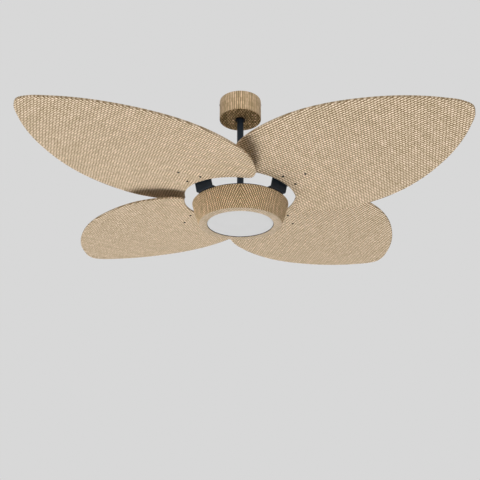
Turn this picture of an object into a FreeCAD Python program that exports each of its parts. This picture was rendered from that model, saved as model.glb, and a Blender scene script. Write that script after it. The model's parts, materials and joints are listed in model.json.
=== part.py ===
import FreeCAD, Part
import math
import os

Vector = FreeCAD.Vector

# A ceiling fan that hangs from a ball in a ceiling bracket. Millimetres and degrees, ceiling at z = 0.

# Shared clearances
overrun = 2.0            # how far every cut runs past what it cuts
fit = 0.05               # radial clearance of pins, shafts, bearings and screws
gap = 0.3                # clearance between curved faces that don't run on each other
swing_angle = 3.0        # how far the ball and the rod lean each way

# Ceiling bracket
bracket_gauge = 2.5
bracket_width = 48.0
slot_spacing = 80.0
slot_length = 14.0
slot_width = 6.5
ear_width = 20.0
ear_drop = 18.0
leg_room = 9.0           # ball to leg
saddle_gauge = 4.0
seat_drop = 9.0          # ball centre down to the saddle's upper face
tab_width = 5.0
tab_height = 3.0
tab_depth = 4.5
tab_inset = 3.5          # how far the tab reaches into the ball's groove
groove_room = 1.0

# Canopy and what is inside it
canopy_radius = 67.0
canopy_depth = 67.5
canopy_wall = 2.0
canopy_edge = 1.2
ceiling_gap = 1.0
canopy_screw_radius = 2.0
canopy_screw_head = 4.0
canopy_screw_head_height = 1.5
collar_wall = 1.4
collar_lip = 1.5
collar_flange = 2.0
collar_sleeve = 5.0
receiver_length = 84.0
receiver_height = 13.0
receiver_room = 2.0      # receiver to each leg
receiver_edge = 2.0
terminal_depth = 14.0
terminal_length = 30.0
terminal_height = 16.0
terminal_lift = 1.0      # terminal block above the saddle's underside
terminal_hole = 2.0
terminal_hole_depth = 8.0
terminal_ways = 3

# Ball and rod
ball_radius = 19.0
ball_drop = 42.0         # ceiling to the ball's centre
ball_pin_radius = 3.0
ball_pin_inset = 1.5
rod_radius = 10.5
rod_wall = 2.5
rod_top_rise = 15.0      # ball centre to the rod's upper end

# Yoke between the rod and the shaft
yoke_radius = 19.0
yoke_height = 38.0
yoke_edge = 1.5
yoke_neck_wall = 2.95
yoke_neck_gap = 2.0      # neck left bare above the motor
shaft_reach = 6.0        # shaft inside the yoke's body
yoke_web = 2.0           # between the shaft's end and the rod's end
yoke_pin_radius = 3.0
yoke_pin_rise = 22.0
yoke_pin_head_radius = 5.0
yoke_pin_head_height = 2.5
yoke_pin_tail = 3.5
clip_radius = 5.5
clip_gauge = 1.5
set_screw_radius = 3.0
set_screw_rise = 32.0

# Blades
blade_count = 4
first_blade_angle = 46.6
tip_radius = 762.0
blade_drop = 350.0       # ceiling to the blades' middle plane
blade_width = 504.0
blade_thickness = 6.0
blade_edge = 2.0
blade_pitch = 5.0
root_corner_angle = 54.5  # where the side meets the root arc, from the blade's own axis
root_corner_round = 14.0
root_flank_shares = [(0.034, 0.32), (0.094, 0.60), (0.181, 0.86), (0.277, 0.975)]
tip_flank_shares = [(0.364, 1.0), (0.474, 0.973), (0.598, 0.882), (0.705, 0.752), (0.833, 0.535),
                    (0.936, 0.282), (0.985, 0.118)]

# Blade brackets
crank_gauge = 3.0
crank_width = 65.0
crank_bend = 0.6         # inner bend radius
crank_lean = 16.0        # riser from upright
crank_foot_gap = 6.6     # housing rim to the riser's foot
crank_inner_gap = 4.0    # motor case to the tongue's inner end
tongue_drop = 19.5       # blade plane down to the tongue's underside
crank_shoulder_gap = 6.0  # inner screws back to where the upper plate starts to narrow
crank_end_gap = 13.0     # outer screw to the plate's end
crank_end_width = 22.0
crank_end_round = 8.0
blade_screw_radius = 2.0
blade_screw_head = 2.8
blade_screw_head_height = 1.8
blade_screw_inset = 24.0  # root to the inner screws
blade_screw_rows = 59.0  # inner screws to the outer one
blade_screw_spread = 56.0
tongue_screw_radius = 2.5
tongue_screw_head = 4.5
tongue_screw_head_height = 3.0
tongue_screw_inset = 18.05
tongue_screw_spread = 36.0

# Motor
motor_cover_gauge = 3.0
motor_cover_inset = 9.4  # housing rim to the cover's edge
shaft_radius = 8.5
shaft_wall = 3.0
bearing_radius = 20.0
bearing_width = 12.0
bearing_ring_wall = 3.65
bearing_ball_radius = 3.0
bearing_ball_count = 7
bearing_sink = 2.0       # upper bearing below the cover's underside
bearing_lip = 2.0
bearing_lip_width = 5.0
bearing_boss_wall = 4.0
hub_neck_wall = 2.95
hub_radius = 30.0
motor_inset = 38.0       # housing's base to the stator
core_height = 24.0
core_ring_share = 0.38    # of the depth from the hub to the shoes
tooth_count = 12
tooth_width = 14.0
shoe_depth = 5.0
shoe_angle = 26.0
winding_depth = 6.0
winding_clearance = 3.5
winding_inset = 3.0      # coil back from the core's ring and from the shoes
insulation = 0.5
air_gap = 1.0
magnet_count = 16
magnet_depth = 3.9
magnet_angle = 18.0
magnet_overhang = 2.0
case_wall = 3.0
ear_reach = 16.0
case_ear_width = 18.0
case_screw_radius = 2.0
case_screw_head = 3.8
case_screw_head_height = 2.5

# Light and housing
light_plate_drop = 7.0   # motor case down to the plate
light_plate_gauge = 2.0
nut_height = 6.5
nut_across_flats = 24.0
led_board_margin = 13.6  # board's edge to the lens wall
led_board_hole = 24.0
led_board_gauge = 1.6
led_row_shares = [(0.82, 20), (0.54, 12)]  # place on the board, and how many
led_size = 3.5
led_height = 0.9
driver_width = 20.0
driver_length = 56.0
driver_height = 20.0
driver_gap = 4.0
driver_edge = 2.0
lens_gap = 1.5           # nut to the lens
lens_wall = 2.0
lens_clearance = 0.4
lens_recess = 1.5
lens_edge = 1.0
housing_radius = 147.4
housing_taper = 21.4     # rim's radius less the base's
lip_width = 25.0         # flat lip round the lens
housing_wall = 2.5
housing_bulge = 1.5
housing_edge = 1.5
rim_gap = 1.5            # bracket tongue to the housing's rim
ring_gap = 24.6          # housing rim to the blades' roots
collar_rise = 8.0        # turned-up edge round the lens
cover_boss_radius = 5.0
cover_boss_gap = 5.5     # turned-up edge to a boss
cover_boss_count = 3
cover_screw_radius = 1.75
cover_screw_head = 3.5
cover_screw_head_height = 2.2
cover_screw_length = 8.0
plate_margin = 2.0

# Heights, from the ceiling down
canopy_low = -canopy_depth
ball_z = -ball_drop
saddle_top = ball_z - seat_drop
saddle_low = saddle_top - saddle_gauge
blade_z = -blade_drop
tongue_low = blade_z - tongue_drop
tongue_top = tongue_low + crank_gauge
motor_cover_low = tongue_top
motor_cover_top = motor_cover_low + motor_cover_gauge
upper_bearing_low = motor_cover_low - bearing_sink
upper_bearing_top = upper_bearing_low + bearing_width
motor_boss_top = upper_bearing_top + bearing_lip
yoke_low = motor_boss_top + yoke_neck_gap
yoke_top = yoke_low + yoke_height
shaft_top = yoke_low + shaft_reach
rod_low = shaft_top + yoke_web
rod_top = ball_z + rod_top_rise
yoke_pin_z = yoke_low + yoke_pin_rise
set_screw_z = yoke_low + set_screw_rise
winding_top = motor_cover_low - winding_clearance
core_top = winding_top - winding_depth - insulation
core_low = core_top - core_height
winding_low = core_low - insulation - winding_depth
case_floor_top = winding_low - winding_clearance
case_floor_low = case_floor_top - case_wall
lower_bearing_low = case_floor_low
lower_bearing_top = lower_bearing_low + bearing_width
case_low = case_floor_low - bearing_lip
plate_top = case_low - light_plate_drop
plate_low = plate_top - light_plate_gauge
nut_low = plate_low - nut_height
lens_low = nut_low - lens_gap - lens_wall
housing_low = lens_low - lens_recess
housing_top = tongue_low - rim_gap

# Radii that follow from others
canopy_inner = canopy_radius - canopy_wall
lean = math.tan(math.radians(swing_angle))
leaned_rod = rod_radius / math.cos(math.radians(swing_angle))
ball_bore = leaned_rod + ball_radius * lean + gap
collar_low = canopy_low - collar_flange
collar_bore = leaned_rod + (ball_z - collar_low) * lean * math.sqrt(2) + gap
collar_radius = collar_bore + collar_wall
shaft_bore = shaft_radius - shaft_wall
shaft_seat = shaft_radius + fit
bearing_seat = bearing_radius + fit
bearing_boss = bearing_seat + bearing_boss_wall
lip_bore = bearing_radius - bearing_lip_width
base_radius = housing_radius - housing_taper
opening_radius = base_radius - lip_width
stator_radius = base_radius - motor_inset
core_ring_width = core_ring_share * (stator_radius - shoe_depth - hub_radius)
case_inner = stator_radius + air_gap + magnet_depth + fit
case_radius = case_inner + case_wall
case_ear_place = case_radius + ear_reach / 2
crank_foot = housing_radius + crank_foot_gap
crank_inner = case_radius + crank_inner_gap
tongue_screw_place = crank_inner + tongue_screw_inset
root_radius = housing_radius + ring_gap
blade_screw_inner = root_radius + blade_screw_inset
blade_screw_outer = blade_screw_inner + blade_screw_rows
crank_shoulder = blade_screw_inner - crank_shoulder_gap
crank_end = blade_screw_outer + crank_end_gap
motor_cover_radius = housing_radius - motor_cover_inset
lens_radius = opening_radius - lens_clearance
led_board_radius = lens_radius - lens_wall - led_board_margin
collar_edge = opening_radius + housing_wall
cover_boss_place = collar_edge + cover_boss_gap + cover_boss_radius
light_plate_radius = cover_boss_place + cover_boss_radius + plate_margin
blade_angles = [first_blade_angle + 360 * i / blade_count for i in range(blade_count)]
between_blades = first_blade_angle + 180 / blade_count

origin = Vector(0, 0, 0)
axis_x = Vector(1, 0, 0)
axis_y = Vector(0, 1, 0)
axis_z = Vector(0, 0, 1)


def cylinder(radius, low, high):
    return Part.makeCylinder(radius, high - low, Vector(0, 0, low))


def tube(outer, inner, low, high):
    return cylinder(outer, low, high).cut(cylinder(inner, low - overrun, high + overrun))


def crossbar(radius, start, end, z, axis):
    return Part.makeCylinder(radius, end - start, axis * start + Vector(0, 0, z), axis)


def block(low, high):
    size = Vector(*high) - Vector(*low)
    return Part.makeBox(size.x, size.y, size.z, Vector(*low))


def outline_face(points):
    return Part.Face(Part.makePolygon(points + points[:1]))


# A solid of revolution from corners given as radius and height
def turned(outline):
    return outline_face([Vector(r, 0, z) for r, z in outline]).revolve(origin, axis_z, 360)


# A piece of a ring, centred on the X axis
def sector(outer, inner, low, high, angle):
    corners = [Vector(r, 0, z) for r, z in ((inner, low), (outer, low), (outer, high), (inner, high))]
    face = outline_face(corners)
    return face.rotated(origin, axis_z, -angle / 2).revolve(origin, axis_z, angle)


def turned_by(shape, angle):
    return shape.rotated(origin, axis_z, angle)


def around(shape, count, first=0):
    return [turned_by(shape, first + 360 * i / count) for i in range(count)]


def rounded(shape, radius, wanted):
    return shape.makeFillet(radius, [edge for edge in shape.Edges if wanted(edge)])


def is_circle(edge, radius, z):
    if not isinstance(edge.Curve, Part.Circle):
        return False
    return abs(edge.Curve.Radius - radius) < fit and abs(edge.Curve.Center.z - z) < fit


def runs_along(edge, axis):
    return isinstance(edge.Curve, Part.Line) and abs(edge.tangentAt(edge.FirstParameter).dot(axis)) > 0.999


# A screw that points down, with the seat of its head at the given place
def screw(shank, head, head_height, length, place):
    body = cylinder(shank, -length, 0).fuse(cylinder(head, 0, head_height))
    return body.removeSplitter().translated(place)


def save(name, *solids):
    shape = solids[0] if len(solids) == 1 else Part.makeCompound(list(solids))
    shape.exportStep("parts/%s.step" % name)


def hanger_bracket():
    ear_face = math.sqrt(canopy_inner ** 2 - (ear_width / 2) ** 2) - gap
    half_width = bracket_width / 2
    leg_face = ball_radius + leg_room + bracket_gauge
    plate = block((-ear_face, -half_width, -bracket_gauge), (ear_face, half_width, 0))
    body = plate.common(cylinder(canopy_inner - gap, -bracket_gauge, 0))
    ear = block((ear_face - bracket_gauge, -ear_width / 2, -bracket_gauge - ear_drop),
                (ear_face, ear_width / 2, -bracket_gauge))
    leg = block((leg_face - bracket_gauge, -half_width, saddle_low), (leg_face, half_width, -bracket_gauge))
    saddle = block((-leg_face, -half_width, saddle_low), (leg_face, half_width, saddle_top))
    saddle = saddle.cut(Part.makeSphere(ball_radius + fit, Vector(0, 0, ball_z)))
    seat_half = math.sqrt(ball_radius ** 2 - (seat_drop + saddle_gauge) ** 2) - gap
    mouth = block((-seat_half, -half_width - overrun, saddle_low - overrun),
                  (seat_half, 0, saddle_top + overrun))
    tab_front = ball_radius - tab_inset
    tab = block((-tab_width / 2, tab_front, saddle_top),
                (tab_width / 2, tab_front + tab_depth, saddle_top + tab_height))
    body = body.multiFuse(around(ear, 2) + around(leg, 2) + [saddle.cut(mouth), tab])
    slot_run = slot_length / 2 - slot_width / 2
    middle = block((-slot_run, -slot_width / 2, -bracket_gauge - overrun),
                   (slot_run, slot_width / 2, overrun))
    end = cylinder(slot_width / 2, -bracket_gauge - overrun, overrun)
    slot = middle.multiFuse([end.translated(Vector(side, 0, 0)) for side in (-slot_run, slot_run)])
    for side in (-slot_spacing / 2, slot_spacing / 2):
        body = body.cut(slot.removeSplitter().translated(Vector(side, 0, 0)))
    reach = canopy_radius + overrun
    body = body.cut(crossbar(canopy_screw_radius + fit, -reach, reach, canopy_screw_z(), axis_x))
    return body.removeSplitter()


def canopy_screw_z():
    return -bracket_gauge - ear_drop / 2


def canopy():
    hole = collar_radius + gap
    shell = turned([(hole, canopy_low), (canopy_radius, canopy_low), (canopy_radius, -ceiling_gap),
                    (canopy_inner, -ceiling_gap), (canopy_inner, canopy_low + canopy_wall),
                    (hole, canopy_low + canopy_wall)])
    shell = rounded(shell, canopy_edge, lambda edge: is_circle(edge, canopy_radius, canopy_low))
    reach = canopy_radius + overrun
    return shell.cut(crossbar(canopy_screw_radius + gap, -reach, reach, canopy_screw_z(), axis_x))


def canopy_screws():
    inner = math.sqrt(canopy_inner ** 2 - (ear_width / 2) ** 2) - gap - bracket_gauge
    shank = crossbar(canopy_screw_radius, inner, canopy_radius, canopy_screw_z(), axis_x)
    head = crossbar(canopy_screw_head, canopy_radius, canopy_radius + canopy_screw_head_height,
                    canopy_screw_z(), axis_x)
    return around(shank.fuse(head).removeSplitter(), 2)


def canopy_collar():
    flange = collar_radius + collar_lip
    sleeve_top = canopy_low + collar_sleeve
    return turned([(collar_bore, collar_low), (flange, collar_low), (flange, canopy_low),
                   (collar_radius, canopy_low), (collar_radius, sleeve_top), (collar_bore, sleeve_top)])


def receiver_box():
    half = ball_radius + leg_room - receiver_room
    box = block((-half, -receiver_length / 2, -bracket_gauge - receiver_height),
                (half, receiver_length / 2, -bracket_gauge))
    return rounded(box, receiver_edge, lambda edge: runs_along(edge, axis_z))


def terminal_block():
    leg_face = ball_radius + leg_room + bracket_gauge
    low = saddle_low + terminal_lift
    body = block((leg_face, -terminal_length / 2, low),
                 (leg_face + terminal_depth, terminal_length / 2, low + terminal_height))
    pitch = terminal_length / terminal_ways
    start = Vector(leg_face + terminal_depth - terminal_hole_depth, 0, low + terminal_height / 2)
    hole = Part.makeCylinder(terminal_hole, terminal_hole_depth + overrun, start, axis_x)
    for i in range(terminal_ways):
        body = body.cut(hole.translated(Vector(0, (i + 0.5) * pitch - terminal_length / 2, 0)))
    return body


def hanger_ball():
    ball = Part.makeSphere(ball_radius, Vector(0, 0, ball_z))
    ball = ball.cut(cylinder(ball_bore, ball_z - ball_radius - overrun, ball_z + ball_radius + overrun))
    reach = ball_radius + overrun
    ball = ball.cut(crossbar(ball_pin_radius + fit, -reach, reach, ball_z, axis_y))
    half = tab_width / 2 + groove_room
    front = ball_radius - tab_inset - groove_room
    groove = block((-half, front, ball_z - reach), (half, reach, saddle_top + tab_height + groove_room))
    return ball.cut(groove)


def ball_pin():
    half = ball_radius - ball_pin_inset
    return crossbar(ball_pin_radius, -half, half, ball_z, axis_y)


def down_rod():
    rod = tube(rod_radius, rod_radius - rod_wall, rod_low, rod_top)
    reach = rod_radius + overrun
    rod = rod.cut(crossbar(ball_pin_radius + fit, -reach, reach, ball_z, axis_y))
    return rod.cut(crossbar(yoke_pin_radius + fit, -reach, reach, yoke_pin_z, axis_x))


def yoke_collar():
    neck = shaft_seat + yoke_neck_wall
    rod_seat = rod_radius + fit
    body = turned([(shaft_seat, upper_bearing_top), (neck, upper_bearing_top), (neck, yoke_low),
                   (yoke_radius, yoke_low), (yoke_radius, yoke_top), (rod_seat, yoke_top),
                   (rod_seat, rod_low), (shaft_bore, rod_low), (shaft_bore, shaft_top),
                   (shaft_seat, shaft_top)])
    body = rounded(body, yoke_edge, lambda edge: is_circle(edge, yoke_radius, yoke_top))
    reach = yoke_radius + overrun
    body = body.cut(crossbar(yoke_pin_radius + fit, -reach, reach, yoke_pin_z, axis_x))
    return body.cut(crossbar(set_screw_radius + fit, -reach, reach, set_screw_z, axis_y))


def yoke_pin():
    tail = yoke_radius + gap + clip_gauge + yoke_pin_tail
    shank = crossbar(yoke_pin_radius, -yoke_radius, tail, yoke_pin_z, axis_x)
    head_end = -yoke_radius - yoke_pin_head_height
    head = crossbar(yoke_pin_head_radius, head_end, -yoke_radius, yoke_pin_z, axis_x)
    return shank.fuse(head).removeSplitter()


def yoke_clip():
    start = yoke_radius + gap
    end = start + clip_gauge
    ring = crossbar(clip_radius, start, end, yoke_pin_z, axis_x)
    return ring.cut(crossbar(yoke_pin_radius + fit, start - overrun, end + overrun, yoke_pin_z, axis_x))


def yoke_set_screws():
    return around(crossbar(set_screw_radius, rod_radius + fit, yoke_radius, set_screw_z, axis_y), 2)


def motor_shaft():
    return tube(shaft_radius, shaft_bore, nut_low, shaft_top)


def shaft_spacer():
    return tube(shaft_seat + hub_neck_wall, shaft_seat, plate_top, lower_bearing_low)


def plate_nut():
    corner = nut_across_flats / math.sqrt(3)
    points = [Vector(corner, 0, nut_low)]
    points += [turned_by(Part.Vertex(points[0]), 60 * i).Point for i in range(1, 6)]
    nut = outline_face(points).extrude(Vector(0, 0, nut_height))
    return nut.cut(cylinder(shaft_seat, nut_low - overrun, plate_low + overrun))


def stator_hub():
    neck = shaft_seat + hub_neck_wall
    flange_low = core_low + winding_depth
    return turned([(shaft_seat, lower_bearing_top), (neck, lower_bearing_top), (neck, flange_low),
                   (hub_radius, flange_low), (hub_radius, core_top), (neck, core_top),
                   (neck, upper_bearing_low), (shaft_seat, upper_bearing_low)])


def stator_core():
    ring_radius = hub_radius + core_ring_width
    ring = tube(ring_radius, hub_radius + fit, core_low, core_top)
    tooth = block((ring_radius - core_ring_width / 2, -tooth_width / 2, core_low),
                  (stator_radius - shoe_depth / 2, tooth_width / 2, core_top))
    shoe = sector(stator_radius, stator_radius - shoe_depth, core_low, core_top, shoe_angle)
    return ring.multiFuse(around(tooth.fuse(shoe), tooth_count)).removeSplitter()


def stator_windings():
    start = hub_radius + core_ring_width + winding_inset
    end = stator_radius - shoe_depth - winding_inset
    inner = tooth_width / 2 + insulation
    outer = inner + winding_depth
    coil = block((start, -outer, winding_low), (end, outer, winding_top))
    coil = rounded(coil, winding_depth - insulation, lambda edge: runs_along(edge, axis_x))
    coil = coil.cut(block((start - overrun, -inner, core_low - insulation),
                          (end + overrun, inner, core_top + insulation)))
    return around(coil, tooth_count)


def bearing_rings(inner_radius, outer_radius):
    pitch = (shaft_radius + bearing_radius) / 2
    rings = []
    for low in (lower_bearing_low, upper_bearing_low):
        track = Part.makeTorus(pitch, bearing_ball_radius + fit, Vector(0, 0, low + bearing_width / 2))
        rings.append(tube(outer_radius, inner_radius, low, low + bearing_width).cut(track))
    return rings


def bearing_balls():
    pitch = (shaft_radius + bearing_radius) / 2
    balls = []
    for low in (lower_bearing_low, upper_bearing_low):
        ball = Part.makeSphere(bearing_ball_radius, Vector(pitch, 0, low + bearing_width / 2))
        balls += around(ball, bearing_ball_count)
    return balls


def motor_top_cover():
    cover = turned([(lip_bore, upper_bearing_top), (lip_bore, motor_boss_top), (bearing_boss, motor_boss_top),
                    (bearing_boss, motor_cover_top), (motor_cover_radius, motor_cover_top),
                    (motor_cover_radius, motor_cover_low), (bearing_boss, motor_cover_low),
                    (bearing_boss, upper_bearing_low), (bearing_seat, upper_bearing_low),
                    (bearing_seat, upper_bearing_top)])
    low = motor_cover_low - overrun
    high = motor_cover_top + overrun
    for side in (-tongue_screw_spread / 2, tongue_screw_spread / 2):
        hole = cylinder(tongue_screw_radius + fit, low, high).translated(Vector(tongue_screw_place, side, 0))
        cover = cover.cut(Part.makeCompound(around(hole, blade_count, first_blade_angle)))
    hole = cylinder(case_screw_radius + fit, low, high).translated(Vector(case_ear_place, 0, 0))
    return cover.cut(Part.makeCompound(around(hole, blade_count, between_blades)))


def motor_case():
    case = turned([(lip_bore, case_low), (bearing_boss, case_low), (bearing_boss, case_floor_low),
                   (case_radius, case_floor_low), (case_radius, motor_cover_low),
                   (case_inner, motor_cover_low), (case_inner, case_floor_top),
                   (bearing_boss, case_floor_top),
                   (bearing_boss, lower_bearing_top), (bearing_seat, lower_bearing_top),
                   (bearing_seat, lower_bearing_low), (lip_bore, lower_bearing_low)])
    case = rounded(case, case_wall, lambda edge: is_circle(edge, case_radius, case_floor_low))
    ear = block((case_radius - case_wall / 2, -case_ear_width / 2, motor_cover_low - case_wall),
                (case_radius + ear_reach, case_ear_width / 2, motor_cover_low))
    ear = rounded(ear, case_ear_width / 3, lambda edge: runs_along(edge, axis_z)
                  and edge.CenterOfMass.x > case_radius)
    hole = cylinder(case_screw_radius + fit, motor_cover_low - case_wall - overrun, motor_cover_low + overrun)
    ear = ear.cut(hole.translated(Vector(case_ear_place, 0, 0)))
    return case.multiFuse(around(ear, blade_count, between_blades)).removeSplitter()


def case_screws():
    piece = screw(case_screw_radius, case_screw_head, case_screw_head_height, motor_cover_gauge + case_wall,
                  Vector(case_ear_place, 0, motor_cover_top))
    return around(piece, blade_count, between_blades)


def rotor_magnets():
    magnet = sector(case_inner - fit, case_inner - fit - magnet_depth, core_low - magnet_overhang,
                    core_top + magnet_overhang, magnet_angle)
    return around(magnet, magnet_count)


# Sets a piece that is drawn level, about its own plane, at the blades' height and pitch
def onto_blade(shape):
    return shape.rotated(origin, axis_x, -blade_pitch).translated(Vector(0, 0, blade_z))


def blade_screw_places():
    half = blade_screw_spread / 2
    return [(blade_screw_inner, -half), (blade_screw_inner, half), (blade_screw_outer, 0)]


# A flat leaf: one smooth curve round both sides and the tip, and a root hollowed round the fan's axis
def blade():
    corner_s = root_radius * math.cos(math.radians(root_corner_angle))
    corner_t = root_radius * math.sin(math.radians(root_corner_angle))
    length = tip_radius - corner_s
    half = blade_width / 2
    side = [(corner_s, corner_t)]
    side += [(corner_s + u * length, corner_t + v * (half - corner_t)) for u, v in root_flank_shares]
    side += [(corner_s + u * length, v * half) for u, v in tip_flank_shares]
    points = [Vector(s, t, 0) for s, t in side] + [Vector(tip_radius, 0, 0)]
    points += [Vector(s, -t, 0) for s, t in reversed(side)]
    leaf = Part.BSplineCurve()
    leaf.interpolate(points)
    root = Part.Arc(points[-1], Vector(root_radius, 0, 0), points[0])
    face = Part.Face(Part.Wire([leaf.toShape(), root.toShape()]))
    plate = face.translated(Vector(0, 0, -blade_thickness / 2)).extrude(Vector(0, 0, blade_thickness))
    plate = rounded(plate, root_corner_round, lambda edge: runs_along(edge, axis_z))
    plate = rounded(plate, blade_edge, lambda edge: not runs_along(edge, axis_z)
                    and abs(abs(edge.CenterOfMass.z) - blade_thickness / 2) < fit)
    depth = blade_thickness / 2 + overrun
    for s, t in blade_screw_places():
        plate = plate.cut(cylinder(blade_screw_radius + fit, -depth, depth).translated(Vector(s, t, 0)))
    return onto_blade(plate)


def blade_screws():
    length = blade_thickness + crank_gauge
    pieces = []
    for s, t in blade_screw_places():
        piece = screw(blade_screw_radius, blade_screw_head, blade_screw_head_height, length, origin)
        piece = piece.rotated(origin, axis_x, 180).translated(Vector(s, t, -blade_thickness / 2))
        pieces += around(onto_blade(piece), blade_count, first_blade_angle)
    return pieces


# The edges of a closed outline whose corners are rounded; a radius of 0 leaves a corner sharp
def rounded_outline(corners):
    edges = []
    ends = []
    for i, (corner, radius) in enumerate(corners):
        to_last = (corners[i - 1][0] - corner).normalize()
        to_next = (corners[(i + 1) % len(corners)][0] - corner).normalize()
        half_angle = to_last.getAngle(to_next) / 2
        setback = radius / math.tan(half_angle)
        middle = (to_last + to_next).normalize() * (radius / math.sin(half_angle) - radius)
        ends.append((corner + to_last * setback, corner + middle, corner + to_next * setback))
    for i, (start, middle, end) in enumerate(ends):
        if corners[i][1] > 0:
            edges.append(Part.Arc(start, middle, end).toShape())
        edges.append(Part.makeLine(end, ends[(i + 1) % len(ends)][0]))
    return Part.Wire(edges)


# The cranked strip's outline on one of its long edges, at a distance across from the bracket's own axis
def crank_outline(across):
    slope = math.tan(math.radians(crank_lean))
    riser = crank_gauge / math.cos(math.radians(crank_lean))
    pitch = math.radians(blade_pitch)
    under = blade_z - across * math.tan(pitch) + blade_thickness / 2 / math.cos(pitch)
    over = under + crank_gauge / math.cos(pitch)
    outer_bend = crank_bend + crank_gauge
    corners = [(crank_inner, tongue_low, 0),
               (crank_foot, tongue_low, outer_bend),
               (crank_foot + (under - tongue_low) * slope, under, crank_bend),
               (crank_end, under, 0),
               (crank_end, over, 0),
               (crank_foot + (over - tongue_low) * slope - riser, over, outer_bend),
               (crank_foot + crank_gauge * slope - riser, tongue_top, crank_bend),
               (crank_inner, tongue_top, 0)]
    return rounded_outline([(Vector(s, across, z), radius) for s, z, radius in corners])


# Two bends carry the strip from the level tongue up to the pitched plate, so its riser is a little twisted
def blade_bracket():
    half = crank_width / 2
    strip = Part.makeLoft([crank_outline(-half), crank_outline(half)], True, True)
    end_half = crank_end_width / 2
    plan = [(crank_inner, -half, 0), (crank_shoulder, -half, crank_end_round),
            (crank_end, -end_half, crank_end_round), (crank_end, end_half, crank_end_round),
            (crank_shoulder, half, crank_end_round), (crank_inner, half, 0)]
    low = tongue_low - overrun
    outline = Part.Face(rounded_outline([(Vector(s, t, low), radius) for s, t, radius in plan]))
    depth = tongue_drop + blade_thickness + crank_gauge + crank_width * math.tan(math.radians(blade_pitch))
    strip = strip.common(outline.extrude(Vector(0, 0, depth + 2 * overrun)))
    for side in (-tongue_screw_spread / 2, tongue_screw_spread / 2):
        hole = cylinder(tongue_screw_radius + fit, tongue_low - overrun, tongue_top + overrun)
        strip = strip.cut(hole.translated(Vector(tongue_screw_place, side, 0)))
    for s, t in blade_screw_places():
        hole = cylinder(blade_screw_radius + fit, 0, blade_thickness / 2 + crank_gauge + overrun)
        strip = strip.cut(onto_blade(hole.translated(Vector(s, t, 0))))
    return strip


def bracket_screws():
    pieces = []
    for side in (-tongue_screw_spread / 2, tongue_screw_spread / 2):
        piece = screw(tongue_screw_radius, tongue_screw_head, tongue_screw_head_height,
                      motor_cover_gauge + crank_gauge, Vector(tongue_screw_place, side, motor_cover_top))
        pieces += around(piece, blade_count, first_blade_angle)
    return pieces


def light_plate():
    plate = tube(light_plate_radius, shaft_seat, plate_low, plate_top)
    hole = cylinder(cover_screw_radius + fit, plate_low - overrun, plate_top + overrun)
    hole = hole.translated(Vector(cover_boss_place, 0, 0))
    return plate.cut(Part.makeCompound(around(hole, cover_boss_count, between_blades)))


# The tapered side bulges a little between its rim and its base
def housing_side(offset, low):
    corners = []
    for z in (housing_top, (housing_top + low) / 2, low):
        share = (housing_top - z) / (housing_top - housing_low)
        taper = housing_radius + (base_radius - housing_radius) * share
        corners.append(Vector(taper + 4 * housing_bulge * share * (1 - share) - offset, 0, z))
    return corners


def housing_cover():
    lip_top = housing_low + housing_wall
    outer = housing_side(0, housing_low)
    inner = housing_side(housing_wall, lip_top)
    path = [(opening_radius, housing_low), (opening_radius, housing_low + collar_rise),
            (collar_edge, housing_low + collar_rise), (collar_edge, lip_top)]
    points = outer[-1:] + [Vector(r, 0, z) for r, z in path] + inner[-1:]
    edges = [Part.Arc(*outer).toShape()]
    edges += [Part.makeLine(points[i], points[i + 1]) for i in range(len(points) - 1)]
    edges += [Part.Arc(*reversed(inner)).toShape(), Part.makeLine(inner[0], outer[0])]
    shell = Part.Face(Part.Wire(edges)).revolve(origin, axis_z, 360)
    edge_radius = min(housing_edge, housing_wall / 2)
    shell = rounded(shell, edge_radius, lambda edge: is_circle(edge, base_radius, housing_low))
    boss = cylinder(cover_boss_radius, lip_top, plate_low)
    boss = boss.cut(cylinder(cover_screw_radius + fit, plate_low - cover_screw_length, plate_low + overrun))
    boss = boss.translated(Vector(cover_boss_place, 0, 0))
    return shell.multiFuse(around(boss, cover_boss_count, between_blades)).removeSplitter()


def cover_screws():
    piece = screw(cover_screw_radius, cover_screw_head, cover_screw_head_height,
                  light_plate_gauge + cover_screw_length, Vector(cover_boss_place, 0, plate_top))
    return around(piece, cover_boss_count, between_blades)


def led_chips():
    top = plate_low - led_board_gauge
    chips = []
    for share, count in led_row_shares:
        radius = share * led_board_radius
        chip = block((-led_size / 2, -led_size / 2, top - led_height), (led_size / 2, led_size / 2, top))
        chips += around(chip.translated(Vector(radius, 0, 0)), count)
    return chips


# A box on the plate beside the motor; the light's driver and the motor's drive stand opposite each other
def driver_box():
    inner = case_radius + driver_gap
    box = block((inner, -driver_length / 2, plate_top),
                (inner + driver_width, driver_length / 2, plate_top + driver_height))
    return rounded(box, driver_edge, lambda edge: runs_along(edge, axis_z))


def lens_diffuser():
    inside = lens_radius - lens_wall
    lens = turned([(0, lens_low), (lens_radius, lens_low), (lens_radius, plate_low), (inside, plate_low),
                   (inside, lens_low + lens_wall), (0, lens_low + lens_wall)])
    return rounded(lens, lens_edge, lambda edge: is_circle(edge, lens_radius, lens_low))


os.makedirs("parts", exist_ok=True)

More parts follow.
